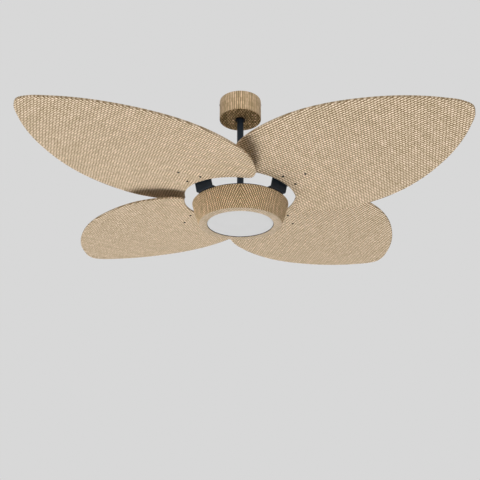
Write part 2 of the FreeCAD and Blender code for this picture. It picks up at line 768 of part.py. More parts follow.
save("hanger_bracket", hanger_bracket())
save("canopy", canopy())
save("canopy_collar", canopy_collar())
save("canopy_screws", *canopy_screws())
save("receiver_box", receiver_box())
save("terminal_block", terminal_block())
save("hanger_ball", hanger_ball())
save("ball_pin", ball_pin())
save("down_rod", down_rod())
save("yoke_collar", yoke_collar())
save("yoke_pin", yoke_pin())
save("yoke_clip", yoke_clip())
save("yoke_set_screws", *yoke_set_screws())
save("motor_shaft", motor_shaft())
save("shaft_spacer", shaft_spacer())
save("plate_nut", plate_nut())
save("stator_hub", stator_hub())
save("stator_core", stator_core())
save("stator_windings", *stator_windings())
save("bearing_inner_rings", *bearing_rings(shaft_seat, shaft_radius + bearing_ring_wall))
save("bearing_outer_rings", *bearing_rings(bearing_radius - bearing_ring_wall, bearing_radius))
save("bearing_balls", *bearing_balls())
save("motor_top_cover", motor_top_cover())
save("motor_case", motor_case())
save("case_screws", *case_screws())
save("rotor_magnets", *rotor_magnets())
save("bracket_screws", *bracket_screws())
save("blade_screws", *blade_screws())
save("light_plate", light_plate())
save("housing_cover", housing_cover())
save("cover_screws", *cover_screws())
save("led_board", tube(led_board_radius, led_board_hole, plate_low - led_board_gauge, plate_low))
save("led_chips", *led_chips())
save("led_driver", driver_box())
save("motor_drive", turned_by(driver_box(), 180))
save("lens_diffuser", lens_diffuser())

leaf_blade = blade()
cranked_bracket = blade_bracket()
for number, angle in enumerate(blade_angles, 1):
    save("blade_%d" % number, turned_by(leaf_blade, angle))
    save("blade_bracket_%d" % number, turned_by(cranked_bracket, angle))
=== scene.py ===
import json
import math

import bmesh
import bpy
from mathutils import Matrix, Vector
from mathutils.geometry import interpolate_bezier


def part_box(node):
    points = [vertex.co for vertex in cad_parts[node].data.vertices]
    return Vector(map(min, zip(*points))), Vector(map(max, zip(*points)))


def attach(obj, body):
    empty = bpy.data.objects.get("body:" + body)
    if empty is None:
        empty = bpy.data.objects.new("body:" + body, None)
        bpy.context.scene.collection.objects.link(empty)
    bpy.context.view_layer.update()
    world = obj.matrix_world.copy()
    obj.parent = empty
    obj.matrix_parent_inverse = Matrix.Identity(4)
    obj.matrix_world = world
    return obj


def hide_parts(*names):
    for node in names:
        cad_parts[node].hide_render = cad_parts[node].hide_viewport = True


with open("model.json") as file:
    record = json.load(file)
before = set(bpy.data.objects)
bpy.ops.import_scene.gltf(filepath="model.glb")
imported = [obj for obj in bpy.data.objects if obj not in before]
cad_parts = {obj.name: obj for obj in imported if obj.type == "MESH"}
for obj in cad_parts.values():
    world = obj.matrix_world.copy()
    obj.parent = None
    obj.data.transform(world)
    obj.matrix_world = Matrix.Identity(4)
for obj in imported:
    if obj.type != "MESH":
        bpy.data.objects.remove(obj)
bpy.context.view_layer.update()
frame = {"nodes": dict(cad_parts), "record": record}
scene = bpy.context.scene
weld = 1e-5  # points nearer than this are one
print("frame loaded:", len(frame["nodes"]), "nodes")


# Node helpers: a socket, number or colour goes into an input
def put(tree, socket, value):
    if isinstance(value, bpy.types.NodeSocket):
        tree.links.new(value, socket)
    else:
        socket.default_value = value


def calc(tree, operation, *values):
    made = tree.nodes.new("ShaderNodeMath")
    made.operation = operation
    for socket, value in zip(made.inputs, values):
        put(tree, socket, value)
    return made.outputs[0]


def vector(tree, x, y, z=0.0):
    made = tree.nodes.new("ShaderNodeCombineXYZ")
    for socket, value in zip(made.inputs, (x, y, z)):
        put(tree, socket, value)
    return made.outputs[0]


def noise(tree, place, scale, detail=2.0, roughness=0.5):
    made = tree.nodes.new("ShaderNodeTexNoise")
    put(tree, made.inputs["Vector"], place)
    put(tree, made.inputs["Scale"], scale)
    put(tree, made.inputs["Detail"], detail)
    put(tree, made.inputs["Roughness"], roughness)
    return made.outputs["Fac"]


def chance(tree, x, y):
    made = tree.nodes.new("ShaderNodeTexWhiteNoise")
    made.noise_dimensions = "2D"
    put(tree, made.inputs["Vector"], vector(tree, x, y))
    return made.outputs["Value"]


def span(tree, value, low, high, fromLow=0.0, fromHigh=1.0):
    made = tree.nodes.new("ShaderNodeMapRange")
    put(tree, made.inputs["Value"], value)
    limits = {"From Min": fromLow, "From Max": fromHigh, "To Min": low, "To Max": high}
    for name, number in limits.items():
        put(tree, made.inputs[name], number)
    return made.outputs["Result"]


def around(tree, value, swing, *fromLimits):
    return span(tree, value, 1.0 - swing, 1.0 + swing, *fromLimits)


def ramp(tree, value, stops):
    made = tree.nodes.new("ShaderNodeValToRGB")
    put(tree, made.inputs["Fac"], value)
    marks = made.color_ramp.elements
    while len(marks) < len(stops):
        marks.new(0.5)
    for mark, (place, colour) in zip(marks, stops):
        mark.position = place
        mark.color = (*colour, 1.0)
    return made.outputs["Color"]


def tint(tree, colour, value):
    made = tree.nodes.new("ShaderNodeMix")
    made.data_type = "RGBA"
    made.blend_type = "MULTIPLY"
    made.inputs["Factor"].default_value = 1.0
    put(tree, made.inputs["A"], colour)
    put(tree, made.inputs["B"], value)
    return made.outputs["Result"]


def bump(tree, height, strength, distance):
    made = tree.nodes.new("ShaderNodeBump")
    put(tree, made.inputs["Strength"], strength)
    put(tree, made.inputs["Distance"], distance)
    put(tree, made.inputs["Height"], height)
    return made.outputs["Normal"]


def newMaterial(name):
    made = bpy.data.materials.new(name)
    made.use_nodes = True
    return made, made.node_tree, made.node_tree.nodes["Principled BSDF"]


def objectPlace(tree):
    return tree.nodes.new("ShaderNodeTexCoord").outputs["Object"]


def uvPlace(tree):
    made = tree.nodes.new("ShaderNodeUVMap")
    made.uv_map = "weave"
    split = tree.nodes.new("ShaderNodeSeparateXYZ")
    tree.links.new(made.outputs["UV"], split.inputs[0])
    return split.outputs[0], split.outputs[1]


# One for the rays that show the background: from the camera, off a gloss or through glass
def seenRays(tree):
    path = tree.nodes.new("ShaderNodeLightPath")
    passed = calc(tree, "MAXIMUM", path.outputs["Is Glossy Ray"], path.outputs["Is Transmission Ray"])
    return calc(tree, "MAXIMUM", path.outputs["Is Camera Ray"], passed)


# What every weave shares: how its strands drift, streak, bunch and shine
strand = {
    "driftScales": (40.0, 32.0), "toneShare": 0.6, "blueGain": 1.3,
    "streakStretch": 9.0, "streakScale": 190.0, "streakRoughness": 0.6,
    "streakTone": 0.07, "streakRelief": 0.25,
    "broadScale": 7.0, "broadDetail": 3.0, "broadTone": 0.05,
    "bunchScale": 60.0, "bunchSquash": 0.6, "bunchLimits": (0.3, 0.7),
    "roughness": (0.62, 0.82), "gloss": 0.28, "bumpStrength": 0.55,
}


# Woven fibre: rows of short rounded strands, dark in the gaps (partly the gaps' own dark, partly painted
# shade in the recesses), each row shifted by the weave's stagger
def wovenMaterial(name, weave, stops):
    made, tree, shader = newMaterial(name)
    u, v = uvPlace(tree)
    tone = weave["tone"]
    wander = weave["wander"]
    sideways, endways = strand["driftScales"]  # hand-laid strands wander a little
    u = calc(tree, "ADD", u, span(tree, noise(tree, vector(tree, u, v), sideways, 1.0), -wander, wander))
    v = calc(tree, "ADD", v, span(tree, noise(tree, vector(tree, v, u), endways, 1.0), -wander, wander))
    rows = calc(tree, "DIVIDE", v, weave["row"])
    rowIndex = calc(tree, "FLOOR", rows)
    shift = calc(tree, "FRACT", calc(tree, "MULTIPLY", rowIndex, weave["stagger"]))
    strands = calc(tree, "ADD", calc(tree, "DIVIDE", u, weave["pitch"]), shift)
    strandIndex = calc(tree, "FLOOR", strands)
    across = calc(tree, "SINE", calc(tree, "MULTIPLY", calc(tree, "FRACT", strands), math.pi))
    along = calc(tree, "SINE", calc(tree, "MULTIPLY", calc(tree, "FRACT", rows), math.pi))
    crown = calc(tree, "POWER", across, weave["round"])
    height = calc(tree, "MULTIPLY", crown, calc(tree, "POWER", along, weave["dive"]))
    stretched = vector(tree, calc(tree, "MULTIPLY", u, strand["streakStretch"]), v)
    fibre = noise(tree, stretched, strand["streakScale"], roughness=strand["streakRoughness"])
    squashed = vector(tree, u, calc(tree, "MULTIPLY", v, strand["bunchSquash"]))
    bunch = noise(tree, squashed, strand["bunchScale"], 1.0)
    broad = noise(tree, vector(tree, u, v), strand["broadScale"], strand["broadDetail"])
    shade = around(tree, chance(tree, strandIndex, rowIndex), tone)
    for share in (around(tree, chance(tree, strandIndex, shift), tone * strand["toneShare"]),
                  around(tree, bunch, weave["patch"], *strand["bunchLimits"]),
                  around(tree, broad, strand["broadTone"]),
                  around(tree, fibre, strand["streakTone"])):
        shade = calc(tree, "MULTIPLY", shade, share)
    shades = vector(tree, shade, shade, calc(tree, "POWER", shade, strand["blueGain"]))
    # the ramp darkens where the height is low, between strands: partly painted shade in the recesses
    tree.links.new(tint(tree, ramp(tree, height, stops), shades), shader.inputs["Base Color"])
    tree.links.new(span(tree, fibre, *strand["roughness"]), shader.inputs["Roughness"])
    shader.inputs["Specular IOR Level"].default_value = strand["gloss"]
    relief = calc(tree, "ADD", height, calc(tree, "MULTIPLY", fibre, strand["streakRelief"]))
    tree.links.new(bump(tree, relief, strand["bumpStrength"], weave["depth"]), shader.inputs["Normal"])
    return made


bladeWeave = {"pitch": 0.00898, "row": 0.00775, "stagger": 0.5, "round": 0.46, "dive": 1.25,
              "depth": 0.0009, "tone": 0.10, "wander": 0.0016, "patch": 0.06}
bladeStops = [(0.0, (0.08, 0.042, 0.016)), (0.30, (0.34, 0.232, 0.129)), (0.62, (0.83, 0.668, 0.472)),
              (1.0, (0.96, 0.79, 0.585))]
edgeStops = [(0.0, (0.34, 0.23, 0.125)), (0.34, (0.48, 0.355, 0.22)), (0.72, (0.68, 0.535, 0.375)),
             (1.0, (0.77, 0.625, 0.455))]
wovenBlade = wovenMaterial("wovenBlade", bladeWeave, bladeStops)
wovenEdge = wovenMaterial("wovenEdge", bladeWeave, edgeStops)
print("woven materials made")


# What every plain finish shares: how its mottle and grain are laid
mottle = {
    "coarseDetail": 4.0, "coarseRoughness": 0.55, "colourLimits": (0.3, 0.7),
    "fineTimes": 14, "fineRoughness": 0.6, "glossLimits": (0.25, 0.75), "bumpStrength": 0.3,
}


# Plain finishes: a mottled colour, a varied gloss and a fine grain
def plainMaterial(name, colour, spread, scale, gloss, grain, metal=0.0, stretch=(1, 1, 1), level=0.5):
    made, tree, shader = newMaterial(name)
    mapping = tree.nodes.new("ShaderNodeMapping")
    mapping.inputs["Scale"].default_value = stretch
    tree.links.new(objectPlace(tree), mapping.inputs["Vector"])
    place = mapping.outputs["Vector"]
    coarse = noise(tree, place, scale, mottle["coarseDetail"], mottle["coarseRoughness"])
    fine = noise(tree, place, scale * mottle["fineTimes"], roughness=mottle["fineRoughness"])
    dark = tuple(c * (1 - spread) for c in colour)
    light = tuple(min(1.0, c * (1 + spread)) for c in colour)
    stops = zip(mottle["colourLimits"], (dark, light))
    tree.links.new(ramp(tree, coarse, list(stops)), shader.inputs["Base Color"])
    tree.links.new(span(tree, fine, *gloss, *mottle["glossLimits"]), shader.inputs["Roughness"])
    tree.links.new(bump(tree, fine, mottle["bumpStrength"], grain), shader.inputs["Normal"])
    shader.inputs["Metallic"].default_value = metal
    shader.inputs["Specular IOR Level"].default_value = level
    return made


finishSettings = {
    "black_metal": {"name": "powderBlack", "colour": (0.010, 0.0168, 0.026), "spread": 0.25, "scale": 60,
                    "gloss": (0.34, 0.48), "grain": 0.00012, "level": 0.24},
    "black_cast_metal": {"name": "castBlack", "colour": (0.012, 0.0135, 0.017), "spread": 0.3, "scale": 45,
                         "gloss": (0.34, 0.5), "grain": 0.0003, "level": 0.4},
    "black_plastic": {"name": "mouldedBlack", "colour": (0.010, 0.010, 0.012), "spread": 0.2, "scale": 50,
                      "gloss": (0.45, 0.6), "grain": 0.0001, "level": 0.2},
    "dark_screw": {"name": "brownedSteel", "colour": (0.011, 0.007, 0.005), "spread": 0.3, "scale": 200,
                   "gloss": (0.4, 0.55), "grain": 0.00005, "level": 0.15},
    "zinc_steel": {"name": "zincSteel", "colour": (0.56, 0.57, 0.6), "spread": 0.12, "scale": 90,
                   "gloss": (0.24, 0.42), "grain": 0.00004, "metal": 1.0, "stretch": (1, 1, 6)},
    "cast_aluminium": {"name": "castAluminium", "colour": (0.62, 0.62, 0.64), "spread": 0.1, "scale": 70,
                       "gloss": (0.4, 0.6), "grain": 0.0003, "metal": 1.0},
    "core_steel": {"name": "coreSteel", "colour": (0.27, 0.27, 0.29), "spread": 0.2, "scale": 30,
                   "gloss": (0.35, 0.55), "grain": 0.0003, "metal": 0.9, "stretch": (1, 1, 40)},
    "copper_wire": {"name": "copperWire", "colour": (0.6, 0.27, 0.11), "spread": 0.25, "scale": 40,
                    "gloss": (0.25, 0.45), "grain": 0.0005, "metal": 0.7, "stretch": (1, 1, 14)},
    "white_plastic": {"name": "mouldedWhite", "colour": (0.74, 0.74, 0.72), "spread": 0.05, "scale": 60,
                      "gloss": (0.4, 0.55), "grain": 0.0001},
    "lamp_board": {"name": "lampBoard", "colour": (0.78, 0.79, 0.79), "spread": 0.04, "scale": 50,
                   "gloss": (0.3, 0.45), "grain": 0.00005},
    "lamp_chip": {"name": "lampChip", "colour": (0.8, 0.66, 0.24), "spread": 0.1, "scale": 300,
                  "gloss": (0.3, 0.5), "grain": 0.00005},
    "opal_lens": {"name": "opalLens", "colour": (0.665, 0.665, 0.665), "spread": 0.015, "scale": 20,
                  "gloss": (0.32, 0.4), "grain": 0.00004},
}
finishes = {slotName: plainMaterial(**settings) for slotName, settings in finishSettings.items()}
for part in frame["record"]["subparts"]:
    finish = finishes.get(part["material_slot"])
    if finish:
        node = frame["nodes"][part["node"]]
        node.data.materials.clear()
        node.data.materials.append(finish)
print("finishes assigned")


# A new piece from a bmesh, placed in the frame and carried by a body
def addPiece(name, bm, material, body, nodes, smooth=True):
    mesh = bpy.data.meshes.new(name)
    bm.to_mesh(mesh)
    bm.free()
    mesh.materials.append(material)
    for polygon in mesh.polygons:
        polygon.use_smooth = smooth
    piece = bpy.data.objects.new(name, mesh)
    scene.collection.objects.link(piece)
    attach(piece, body)
    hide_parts(*nodes)
    return piece


# Blades: a leaf outline with scalloped, rounded edges, pitched and set round the axis
leaf = {
    "turns": (46.6, 136.6, 226.6, 316.6), "height": -0.350, "pitch": 5.0, "half": 0.003,
    "tip": 0.762, "halfWidth": 0.252, "root": 0.172,
    "cornerAngle": 54.5, "cornerRound": 0.014, "cornerPull": 0.55, "cornerPoints": 9,
    "rootFlank": [(0.034, 0.32), (0.094, 0.60), (0.181, 0.86), (0.277, 0.975)],
    "tipFlank": [(0.364, 1.0), (0.474, 0.973), (0.598, 0.882), (0.705, 0.752), (0.833, 0.535),
                 (0.936, 0.282), (0.985, 0.118)],
    "flankPoints": 24, "archSteps": 60,
    "edge": 0.002, "edgeSteps": 3, "edgeBand": 3, "edgeFacing": 0.8,
    "scallop": 0.0075, "scallopSteps": 4, "swell": 0.0005,
    "cell": 0.05, "cellsAlong": range(3, 15), "cellsAcross": range(-4, 5),
}


# Along one flank, round the tip and back: shares of the length and of the width
def flankKnots():
    corner = math.radians(leaf["cornerAngle"])
    cornerS = leaf["root"] * math.cos(corner)
    cornerT = leaf["root"] * math.sin(corner)
    length = leaf["tip"] - cornerS
    widening = leaf["halfWidth"] - cornerT
    side = [(cornerS, cornerT)]
    side += [(cornerS + a * length, cornerT + b * widening) for a, b in leaf["rootFlank"]]
    side += [(cornerS + a * length, b * leaf["halfWidth"]) for a, b in leaf["tipFlank"]]
    knots = [Vector((s, t, 0)) for s, t in side] + [Vector((leaf["tip"], 0, 0))]
    return knots + [Vector((s, -t, 0)) for s, t in reversed(side)]


# A smooth line through the knots, its slope at each taken from the lines beside it
def smoothLine(knots):
    gaps = [(b - a).length for a, b in zip(knots, knots[1:])]
    lines = [(b - a) / gap for a, b, gap in zip(knots, knots[1:], gaps)]
    slopes = [(lines[i] * gaps[i + 1] + lines[i + 1] * gaps[i]) / (gaps[i] + gaps[i + 1])
              for i in range(len(lines) - 1)]
    slopes = [2 * lines[0] - slopes[0]] + slopes + [2 * lines[-1] - slopes[-1]]
    curve = []
    for i, gap in enumerate(gaps):
        leaving = knots[i] + slopes[i] * gap / 3
        arriving = knots[i + 1] - slopes[i + 1] * gap / 3
        curve += interpolate_bezier(knots[i], leaving, arriving, knots[i + 1], leaf["flankPoints"])[:-1]
    return curve


def roundCorner(start, corner, end):
    leaving = start.lerp(corner, leaf["cornerPull"])
    arriving = end.lerp(corner, leaf["cornerPull"])
    return interpolate_bezier(start, leaving, arriving, end, leaf["cornerPoints"])[1:-1]


# The flanks, the hollowed root and the rounded corners between them
def leafOutline():
    knots = flankKnots()
    cut = leaf["cornerRound"]
    corners = (knots[0], knots[-1])
    curve = [point for point in smoothLine(knots) if min((point - corner).length for corner in corners) > cut]
    reach = math.radians(leaf["cornerAngle"]) - 2 * math.asin(cut / leaf["root"] / 2)
    turns = [-reach + 2 * reach * i / leaf["archSteps"] for i in range(leaf["archSteps"] + 1)]
    arch = [Vector((leaf["root"] * math.cos(a), leaf["root"] * math.sin(a), 0)) for a in turns]
    first = roundCorner(arch[-1], corners[0], curve[0])
    last = roundCorner(curve[-1], corners[1], arch[0])
    return curve + last + arch + first


# The outline spaced evenly for the scallops
def leafLoop():
    loop = leafOutline()
    lengths = [(b - a).length for a, b in zip(loop, loop[1:] + loop[:1])]
    count = round(sum(lengths) / leaf["scallop"]) * leaf["scallopSteps"]
    even = []
    walked = 0.0
    i = 0
    for k in range(count):
        target = sum(lengths) * k / count
        while walked + lengths[i] < target:
            walked += lengths[i]
            i += 1
        even.append(loop[i].lerp(loop[(i + 1) % len(loop)], (target - walked) / lengths[i]))
    return even


def outwardLines(loop):
    count = len(loop)
    area = sum(loop[i - 1].cross(loop[i]).z for i in range(count))
    outward = []
    for i in range(count):
        line = (loop[(i + 1) % count] - loop[i - 1]).normalized()
        outward.append(Vector((line.y, -line.x, 0)) * math.copysign(1.0, area))
    return outward


# The rounded edge from the underside to the top, as inset and height
def edgeSection():
    edge = leaf["edge"]
    half = leaf["half"]
    turns = [math.pi / 2 * i / leaf["edgeSteps"] for i in range(leaf["edgeSteps"] + 1)]
    rounds = [(edge - edge * math.sin(a), half - edge + edge * math.cos(a)) for a in turns]
    upper = [(leaf["edgeBand"] * edge, half)] + rounds
    return [(inset, -height) for inset, height in upper] + upper[::-1]


# From a level blade on the X axis to its own place
def bladeSeat(turn):
    rise = Matrix.Rotation(math.radians(turn), 4, "Z") @ Matrix.Translation((0, 0, leaf["height"]))
    return rise @ Matrix.Rotation(math.radians(-leaf["pitch"]), 4, "X")


def leafMesh(turn):
    loop = leafLoop()
    outward = outwardLines(loop)
    waves = [abs(math.sin(math.pi * i / leaf["scallopSteps"])) for i in range(len(loop))]
    bm = bmesh.new()
    rings = []
    for inset, height in edgeSection():
        swell = leaf["swell"] * max(0.0, 1.0 - inset / leaf["edge"])
        ring = [bm.verts.new(point - line * (inset - swell * wave) + Vector((0, 0, height)))
                for point, line, wave in zip(loop, outward, waves)]
        rings.append([bm.edges.new(pair) for pair in zip(ring, ring[1:] + ring[:1])])
    for low, high in zip(rings, rings[1:]):
        bmesh.ops.bridge_loops(bm, edges=low + high)
    for ring in (rings[0], rings[-1]):
        bmesh.ops.edgeloop_fill(bm, edges=ring)
    cuts = [((0, k * leaf["cell"], 0), (0, 1, 0)) for k in leaf["cellsAcross"]]
    cuts += [((k * leaf["cell"], 0, 0), (1, 0, 0)) for k in leaf["cellsAlong"]]
    for middle, normal in cuts:
        everything = bm.verts[:] + bm.edges[:] + bm.faces[:]
        bmesh.ops.bisect_plane(bm, geom=everything, plane_co=middle, plane_no=normal, dist=weld)
    bmesh.ops.recalc_face_normals(bm, faces=bm.faces)
    uv = bm.loops.layers.uv.new("weave")
    for face in bm.faces:
        face.material_index = int(abs(face.normal.z) < leaf["edgeFacing"])
        for corner in face.loops:
            corner[uv].uv = (corner.vert.co.x, corner.vert.co.y)
    bmesh.ops.transform(bm, matrix=bladeSeat(turn), verts=bm.verts)
    return bm


for number, turn in enumerate(leaf["turns"], 1):
    nodes = ["blade_%d" % number]
    piece = addPiece("leaf%d" % number, leafMesh(turn), wovenBlade, "rotor", nodes)
    piece.data.materials.append(wovenEdge)
print("blades made")


# A turned piece: a closed or open profile of radius and height, spun round the axis
def turnedMesh(profile, steps, closed):
    bm = bmesh.new()
    verts = [bm.verts.new((radius, 0, height)) for radius, height in profile]
    edges = [bm.edges.new(pair) for pair in zip(verts, verts[1:])]
    if closed:
        edges.append(bm.edges.new((verts[-1], verts[0])))
    bmesh.ops.spin(bm, geom=verts + edges, cent=(0, 0, 0), axis=(0, 0, 1), angle=math.tau, steps=steps,
                   use_merge=True, use_duplicate=False)
    bmesh.ops.remove_doubles(bm, verts=bm.verts, dist=weld)
    bmesh.ops.recalc_face_normals(bm, faces=bm.faces)
    return bm


# The weave's u runs round at one radius, and v follows the profile
def layWeave(bm, profile, radius):
    travel = [0.0]
    for a, b in zip(profile, profile[1:]):
        travel.append(travel[-1] + math.dist(a, b))
    runs = {}
    for vert in bm.verts:
        here = (math.hypot(vert.co.x, vert.co.y), vert.co.z)
        runs[vert] = min(zip(profile, travel), key=lambda mark: math.dist(mark[0], here))[1]
    uv = bm.loops.layers.uv.new("weave")
    for face in bm.faces:
        middle = face.calc_center_median()
        base = math.atan2(middle.y, middle.x)
        for corner in face.loops:
            turn = math.atan2(corner.vert.co.y, corner.vert.co.x) - base
            turn -= math.tau * round(turn / math.tau)
            corner[uv].uv = ((base + turn) * radius, runs[corner.vert])


# A chevron: the weave's lean turns over at the front and back lines
def mirrorWeave(bm, radius):
    uv = bm.loops.layers.uv["weave"]
    for face in bm.faces:
        for corner in face.loops:
            turn = math.atan2(abs(corner.vert.co.x), -corner.vert.co.y)
            corner[uv].uv.x = -turn * radius


# The underside is laid flat, in a second material
def layFlat(bm, low, depth=0.0005, facing=-0.9):
    uv = bm.loops.layers.uv["weave"]
    for face in bm.faces:
        if face.normal.z < facing and face.calc_center_median().z < low + depth:
            face.material_index = 1
            for corner in face.loops:
                corner[uv].uv = corner.vert.co.xy


# The wall of an opening gets painted shade: a black third material stands in for the shadow in the recess
def paintShadeOnWall(bm, opening, depth=0.0004):
    for face in bm.faces:
        if face.calc_center_median().xy.length < opening + depth:
            face.material_index = 2


def arc(middle, radius, start, end, steps):
    turns = [math.radians(start + (end - start) * i / steps) for i in range(steps + 1)]
    return [(middle[0] + radius * math.cos(a), middle[1] + radius * math.sin(a)) for a in turns]


# Housing: tapering woven drum with a flat lip and a turned-up edge round the lens
drum = {
    "rim": 0.1474, "base": 0.126, "top": -0.371, "low": -0.436, "bulge": 0.0015, "wall": 0.0025,
    "opening": 0.101, "rise": 0.008, "steps": 280, "flankSteps": 20, "flankShare": 0.985,
    "round": 0.0012, "roundIn": 0.0003, "roundUp": 0.0004, "lipBand": 0.012, "innerCorner": 0.001,
    "rimSide": 0.0005, "rimShoulder": 0.0006, "rimCrown": 0.0009, "strands": 124,
}
drumWeave = {"pitch": math.tau * drum["rim"] / drum["strands"], "row": 0.0044, "stagger": 1 / 3, "round": 1.0,
             "dive": 0.15, "depth": 0.0009, "tone": 0.1, "wander": 0.0026, "patch": 0.1}
drumStops = [(0.0, (0.03, 0.011, 0.003)), (0.38, (0.23, 0.129, 0.05)), (0.74, (0.87, 0.64, 0.38)),
             (1.0, (0.98, 0.775, 0.525))]
lipStops = [(0.0, (0.30, 0.21, 0.12)), (0.34, (0.46, 0.35, 0.235)), (0.72, (0.62, 0.505, 0.375)),
            (1.0, (0.69, 0.575, 0.44))]


def drumProfile():
    rim, base, top, low = drum["rim"], drum["base"], drum["top"], drum["low"]
    wall, opening, rise = drum["wall"], drum["opening"], drum["rise"]
    outer = []
    for i in range(drum["flankSteps"] + 1):
        share = i / drum["flankSteps"] * drum["flankShare"]
        swell = 4 * drum["bulge"] * share * (1 - share)
        outer.append((rim + (base - rim) * share + swell, top + (low - top) * share))
    lip = [(base - drum["roundIn"], low + drum["roundIn"]), (base - drum["round"], low),
           (opening + drum["lipBand"], low), (opening + drum["round"], low),
           (opening + drum["roundIn"], low + drum["roundUp"]), (opening, low + drum["round"]),
           (opening, low + rise)]
    inner = [(opening + wall, low + rise), (opening + wall, low + wall),
             (base - wall - drum["innerCorner"], low + wall)]
    inner += [(radius - wall, max(height, low + 2 * wall)) for radius, height in reversed(outer[::2])]
    shoulder = top + drum["rimShoulder"]
    crest = [(rim - wall + drum["rimSide"], shoulder), (rim - wall / 2, top + drum["rimCrown"]),
             (rim - drum["rimSide"], shoulder)]
    return outer + lip + inner + crest


wovenDrum = wovenMaterial("wovenDrum", drumWeave, drumStops)
profile = drumProfile()
bm = turnedMesh(profile, drum["steps"], True)
layWeave(bm, profile, drum["rim"])
mirrorWeave(bm, drum["rim"])
layFlat(bm, drum["low"])
paintShadeOnWall(bm, drum["opening"])
piece = addPiece("drumHousing", bm, wovenDrum, "drop_assembly", ["housing_cover"])
piece.data.materials.append(wovenMaterial("wovenLip", bladeWeave, lipStops))
# third material, black: painted shade on the opening's wall
piece.data.materials.append(finishes["black_plastic"])
print("housing made")

# Canopy: upright ribs of weave against the ceiling
cup = {
    "radius": 0.067, "low": -0.0675, "top": -0.001, "wall": 0.002, "edge": 0.0008, "edgeSteps": 5,
    "steps": 124, "ribs": 68, "sideHeights": (0.04, 0.02), "underShares": (0.7, 0.45), "collarLap": 0.0012,
}
cupWeave = {"pitch": math.tau * cup["radius"] / cup["ribs"], "row": 0.013, "stagger": 0.0, "round": 0.7,
            "dive": 0.04, "depth": 0.0009, "tone": 0.15, "wander": 0.0012, "patch": 0.06}
cupStops = [(0.0, (0.09, 0.044, 0.015)), (0.34, (0.31, 0.194, 0.09)), (0.72, (0.66, 0.48, 0.28)),
            (1.0, (0.805, 0.61, 0.395))]
underWeave = {"pitch": 0.0088, "row": 0.0088, "stagger": 0.5, "round": 0.8, "dive": 0.4,
              "depth": 0.0009, "tone": 0.42, "wander": 0.006, "patch": 0.25}
# the underside's colours are darker than the side's: painted shade where the blades keep the light off; the
# coarse blotchy weave is its own
underShadeStops = [(0.0, (0.022, 0.009, 0.002)), (0.34, (0.15, 0.092, 0.036)), (0.72, (0.55, 0.395, 0.20)),
              (1.0, (0.72, 0.54, 0.31))]


def cupProfile():
    radius, low, edge, wall = cup["radius"], cup["low"], cup["edge"], cup["wall"]
    collarLow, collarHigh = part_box("canopy_collar")
    hole = (collarHigh.x - collarLow.x) / 2 - cup["collarLap"]
    points = [(radius - wall, cup["top"]), (radius, cup["top"])]
    points += [(radius, low + height) for height in cup["sideHeights"]]
    points += arc((radius - edge, low + edge), edge, 0, -90, cup["edgeSteps"])
    points += [(radius * share, low) for share in cup["underShares"]]
    return points + [(hole, low), (hole, low + wall), (radius - wall, low + wall)]


wovenCup = wovenMaterial("wovenCup", cupWeave, cupStops)
profile = cupProfile()
bm = turnedMesh(profile, cup["steps"], True)
layWeave(bm, profile, cup["radius"])
layFlat(bm, cup["low"])
piece = addPiece("canopyCup", bm, wovenCup, "ceiling_mount", ["canopy"])
# second material on the flat underside: darker weave colours, painted shade
piece.data.materials.append(wovenMaterial("wovenUnderShaded", underWeave, underShadeStops))
print("canopy made")

# Lens: opal disc, a little domed, with a softly rounded edge
disc = {
    "radius": 0.1006, "face": -0.4345, "top": -0.4245, "wall": 0.002, "dome": 0.0008, "domeSteps": 10,
    "edge": 0.0016, "edgeSteps": 6, "edgeStart": -85, "steps": 128,
}


def discProfile():
    radius, face, top, wall, edge = disc["radius"], disc["face"], disc["top"], disc["wall"], disc["edge"]
    shares = [k / disc["domeSteps"] for k in range(disc["domeSteps"])]
    points = [(radius * share, face - disc["dome"] * (1 - share ** 2)) for share in shares]
    points += arc((radius - edge, face + edge), edge, disc["edgeStart"], 0, disc["edgeSteps"])
    return points + [(radius, top), (radius - wall, top), (radius - wall, face + wall), (0.0, face + wall)]


bm = turnedMesh(discProfile(), disc["steps"], False)
addPiece("lensDisc", bm, finishes["opal_lens"], "drop_assembly", ["lens_diffuser"])
print("lens made")

# Motor lid: pressed rings, a rolled rim and the bearing's boss
lid = {
    "radius": 0.138, "top": -0.3635, "gauge": 0.003, "boss": 0.02405, "bossTop": -0.3545, "bore": 0.015,
    "seat": 0.02005, "seatTop": -0.3565, "low": -0.3685, "edge": 0.0012,
    "steps": 160, "bossSteps": 4, "edgeSteps": 5,
    "rings": ((0.040, 0.056), (0.070, 0.090)), "ringRise": 0.0018,
    "ringShares": ((0.0, 0.0), (0.5, 0.15), (1.5, 0.85), (2.0, 1.0)),
}


def lidProfile():
    top, edge, boss, radius = lid["top"], lid["edge"], lid["boss"], lid["radius"]
    bore, seat, bossTop, seatTop = lid["bore"], lid["seat"], lid["bossTop"], lid["seatTop"]
    under = top - lid["gauge"]
    flank = [(edge * out, top + lid["ringRise"] * up) for out, up in lid["ringShares"]]
    points = [(bore, seatTop), (bore, bossTop - edge / 2), (bore + edge / 2, bossTop)]
    points += arc((boss - edge, bossTop - edge), edge, 90, 0, lid["bossSteps"])
    points += arc((boss + 2 * edge, top + 2 * edge), 2 * edge, 180, 270, lid["edgeSteps"])
    for inner, outer in lid["rings"]:
        points += [(inner + out, height) for out, height in flank]
        points += [(outer - out, height) for out, height in reversed(flank)]
    points += arc((radius - edge, top - edge), edge, 90, 0, lid["edgeSteps"])
    points += arc((radius - edge, under + edge), edge, 0, -90, lid["edgeSteps"])
    return points + [(boss, under), (boss, lid["low"]), (seat, lid["low"]), (seat, seatTop)]


bm = turnedMesh(lidProfile(), lid["steps"], True)
addPiece("motorLid", bm, finishes["black_cast_metal"], "rotor", ["motor_top_cover"])
print("motor lid made")

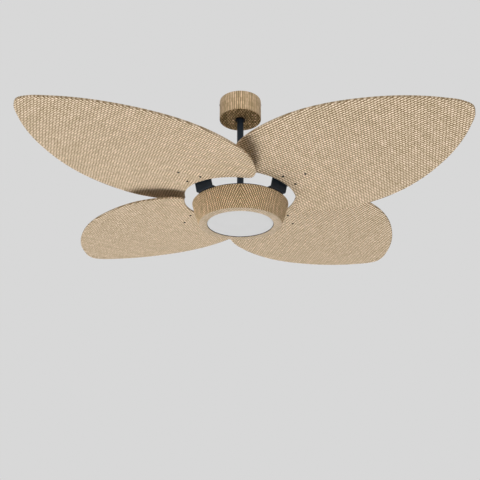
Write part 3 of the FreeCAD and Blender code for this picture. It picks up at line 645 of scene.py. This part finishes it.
# Pan head: shares of the shank at the point, of the head's radius and rise, and of the head in its cross
panHead = {
    "steps": 24, "pointRadius": 0.7, "pointLength": 0.4,
    "crown": ((0.97, 0.0), (1.0, 0.1), (1.0, 0.45), (0.95, 0.72), (0.84, 0.92), (0.68, 1.0)),
    "crossArm": 0.56, "crossHalf": 0.13, "crossTaper": 0.7, "crossDepth": 0.65,
}


def onlyVerts(parts):
    return [part for part in parts if isinstance(part, bmesh.types.BMVert)]


# Screws: pan heads with a crossed recess, drawn head up and set in their places
def screwMesh(screw, places):
    head, rise, shank, length = screw["head"], screw["rise"], screw["shank"], screw["length"]
    profile = [(0.0, -length), (shank * panHead["pointRadius"], -length),
               (shank, -length + shank * panHead["pointLength"]), (shank, 0.0)]
    profile += [(head * out, rise * up) for out, up in panHead["crown"]]
    bm = turnedMesh(profile, panHead["steps"], False)
    rim = [edge for edge in bm.edges if edge.is_boundary]
    arm = head * panHead["crossArm"]
    half = head * panHead["crossHalf"]
    outline = [(arm, -half), (arm, half), (half, half)]
    for quarter in range(3):
        outline += [(-y, x) for x, y in outline[-3:]]
    verts = [bm.verts.new((x, y, rise)) for x, y in outline]
    cross = [bm.edges.new((a, b)) for a, b in zip(verts, verts[1:] + verts[:1])]
    bmesh.ops.bridge_loops(bm, edges=rim + cross)
    sunk = bmesh.ops.extrude_edge_only(bm, edges=cross)["geom"]
    deep = onlyVerts(sunk)
    bmesh.ops.scale(bm, vec=(panHead["crossTaper"], panHead["crossTaper"], 1.0), verts=deep)
    bmesh.ops.translate(bm, vec=(0, 0, -rise * panHead["crossDepth"]), verts=deep)
    bottom = [part for part in sunk if isinstance(part, bmesh.types.BMEdge) and part.is_boundary]
    bmesh.ops.edgeloop_fill(bm, edges=bottom)
    bmesh.ops.recalc_face_normals(bm, faces=bm.faces)
    first = bm.verts[:] + bm.edges[:] + bm.faces[:]
    for place in places:
        copy = bmesh.ops.duplicate(bm, geom=first)["geom"]
        bmesh.ops.transform(bm, matrix=place, verts=onlyVerts(copy))
    bmesh.ops.delete(bm, geom=onlyVerts(first), context="VERTS")
    return bm


def turned(degrees, x, y, z):
    return Matrix.Rotation(math.radians(degrees), 4, "Z") @ Matrix.Translation((x, y, z))


bladeScrew = {"head": 0.0036, "rise": 0.0018, "shank": 0.002, "length": 0.009,
              "spots": ((0.196, -0.028), (0.196, 0.028), (0.255, 0.0))}
tongueScrew = {"head": 0.0045, "rise": 0.003, "shank": 0.0025, "length": 0.006, "out": 0.118,
               "sides": (-0.018, 0.018)}
lidScrew = {"head": 0.0038, "rise": 0.0025, "shank": 0.002, "length": 0.006, "out": 0.10395, "between": 45}
cupScrew = {"head": 0.004, "rise": 0.0015, "shank": 0.002, "length": 0.0055, "height": -0.0115,
            "turns": (0, 180)}
headDown = Matrix.Rotation(math.pi, 4, "X")
headOut = Matrix.Rotation(math.pi / 2, 4, "Y")
underBlade = [bladeSeat(turn) @ Matrix.Translation((s, t, -leaf["half"])) @ headDown
              for turn in leaf["turns"] for s, t in bladeScrew["spots"]]
overTongue = [turned(turn, tongueScrew["out"], side, lid["top"])
              for turn in leaf["turns"] for side in tongueScrew["sides"]]
overLid = [turned(turn + lidScrew["between"], lidScrew["out"], 0, lid["top"]) for turn in leaf["turns"]]
outOfCup = [turned(turn, cup["radius"], 0, cupScrew["height"]) @ headOut for turn in cupScrew["turns"]]
for name, screw, places, body, node, slotName in (
        ("bladeScrews", bladeScrew, underBlade, "rotor", "blade_screws", "dark_screw"),
        ("tongueScrews", tongueScrew, overTongue, "rotor", "bracket_screws", "dark_screw"),
        ("lidScrews", lidScrew, overLid, "rotor", "case_screws", "dark_screw"),
        ("cupScrews", cupScrew, outOfCup, "ceiling_mount", "canopy_screws", "zinc_steel")):
    addPiece(name, screwMesh(screw, places), finishes[slotName], body, [node], False)
print("screws made")

# Floor: plain and pale, low enough to be clear of a camera right below the fan
ground = {"half": 40.0, "cells": 8, "height": -3.0, "lift": 0.525}
groundFinish = {"name": "paleFloor", "colour": (0.74, 0.74, 0.74), "spread": 0.01, "scale": 2,
                "gloss": (0.7, 0.8), "grain": 0.0001}
bm = bmesh.new()
bmesh.ops.create_grid(bm, x_segments=ground["cells"], y_segments=ground["cells"], size=ground["half"])
bmesh.ops.translate(bm, vec=(0, 0, ground["height"]), verts=bm.verts)
mesh = bpy.data.meshes.new("floor")
bm.to_mesh(mesh)
bm.free()
paleFloor = plainMaterial(**groundFinish)
tree = paleFloor.node_tree
shader = tree.nodes["Principled BSDF"]
shader.inputs["Emission Color"].default_value = (1.0, 1.0, 1.0, 1.0)
lift = calc(tree, "MULTIPLY", seenRays(tree), ground["lift"])  # to the background's grey where seen
put(tree, shader.inputs["Emission Strength"], lift)
mesh.materials.append(paleFloor)
floor = bpy.data.objects.new("floor", mesh)
scene.collection.objects.link(floor)
floor.visible_shadow = False  # the key shines up through it
floor.visible_diffuse = False
print("floor made")


# Lamps: each shines from its back direction, a sun with an angle and an area with a size
def addLight(name, kind, place, back, power, spread):
    data = bpy.data.lights.new(name, kind)
    data.energy = power
    if kind == "SUN":
        data.angle = math.radians(spread)
    else:
        data.size = spread
    made = bpy.data.objects.new(name, data)
    made.location = place
    made.rotation_euler = Vector(back).to_track_quat("Z", "Y").to_euler()
    made.visible_camera = False
    made.visible_glossy = False
    scene.collection.objects.link(made)


lamps = {
    "lightBelow": {"kind": "SUN", "place": (0, 0, -2), "back": (-0.32, 0.52, -0.8),
                   "power": 2.95, "spread": 48.0},
    "lightFront": {"kind": "SUN", "place": (0, 0, -2), "back": (0.05, -1.0, -0.02),
                   "power": 1.54, "spread": 54.0},
    "lightAbove": {"kind": "AREA", "place": (0, 0, 2.6), "back": (0, 0, 1),
                   "power": 60.0, "spread": 4.0},
}
for name, lamp in lamps.items():
    addLight(name, **lamp)

# Studio: a grey background, and soft light that is strongest from the sides and from behind
studio = {"grey": 0.686, "front": 0.36, "behind": 0.84,
          "upward": ((0.0, 0.18), (0.42, 0.34), (0.53, 0.95), (0.68, 0.08))}
world = bpy.data.worlds.new("studio")
world.use_nodes = True
scene.world = world
tree = world.node_tree
seen = tree.nodes["Background"]
seen.inputs["Color"].default_value = (*[studio["grey"]] * 3, 1.0)
seen.inputs["Strength"].default_value = 1.0
lit = tree.nodes.new("ShaderNodeBackground")
toward = tree.nodes.new("ShaderNodeSeparateXYZ")
tree.links.new(tree.nodes.new("ShaderNodeTexCoord").outputs["Generated"], toward.inputs[0])
upward = span(tree, toward.outputs[2], 0.0, 1.0, -1.0, 1.0)
glow = ramp(tree, upward, [(place, (grey, grey, grey)) for place, grey in studio["upward"]])
tree.links.new(glow, lit.inputs["Color"])
strength = span(tree, toward.outputs[1], studio["front"], studio["behind"], -1.0, 1.0)
tree.links.new(strength, lit.inputs["Strength"])
choose = tree.nodes.new("ShaderNodeMixShader")
tree.links.new(seenRays(tree), choose.inputs[0])
tree.links.new(lit.outputs[0], choose.inputs[1])
tree.links.new(seen.outputs[0], choose.inputs[2])
tree.links.new(choose.outputs[0], tree.nodes["World Output"].inputs["Surface"])

# Camera: the photograph's viewpoint, below the blades and looking up
viewpoint = {"place": (-0.001, -1.917, -1.249), "tilt": 111.70, "sensor": 36.0, "lens": 51.36, "far": 60.0}
camera = bpy.data.objects.new("camera", bpy.data.cameras.new("camera"))
camera.data.sensor_width = viewpoint["sensor"]
camera.data.lens = viewpoint["lens"]
camera.data.clip_end = viewpoint["far"]
camera.location = viewpoint["place"]
camera.rotation_euler = (math.radians(viewpoint["tilt"]), 0, 0)
scene.collection.objects.link(camera)
scene.camera = camera
scene.view_settings.view_transform = "Standard"
print("light and camera set")
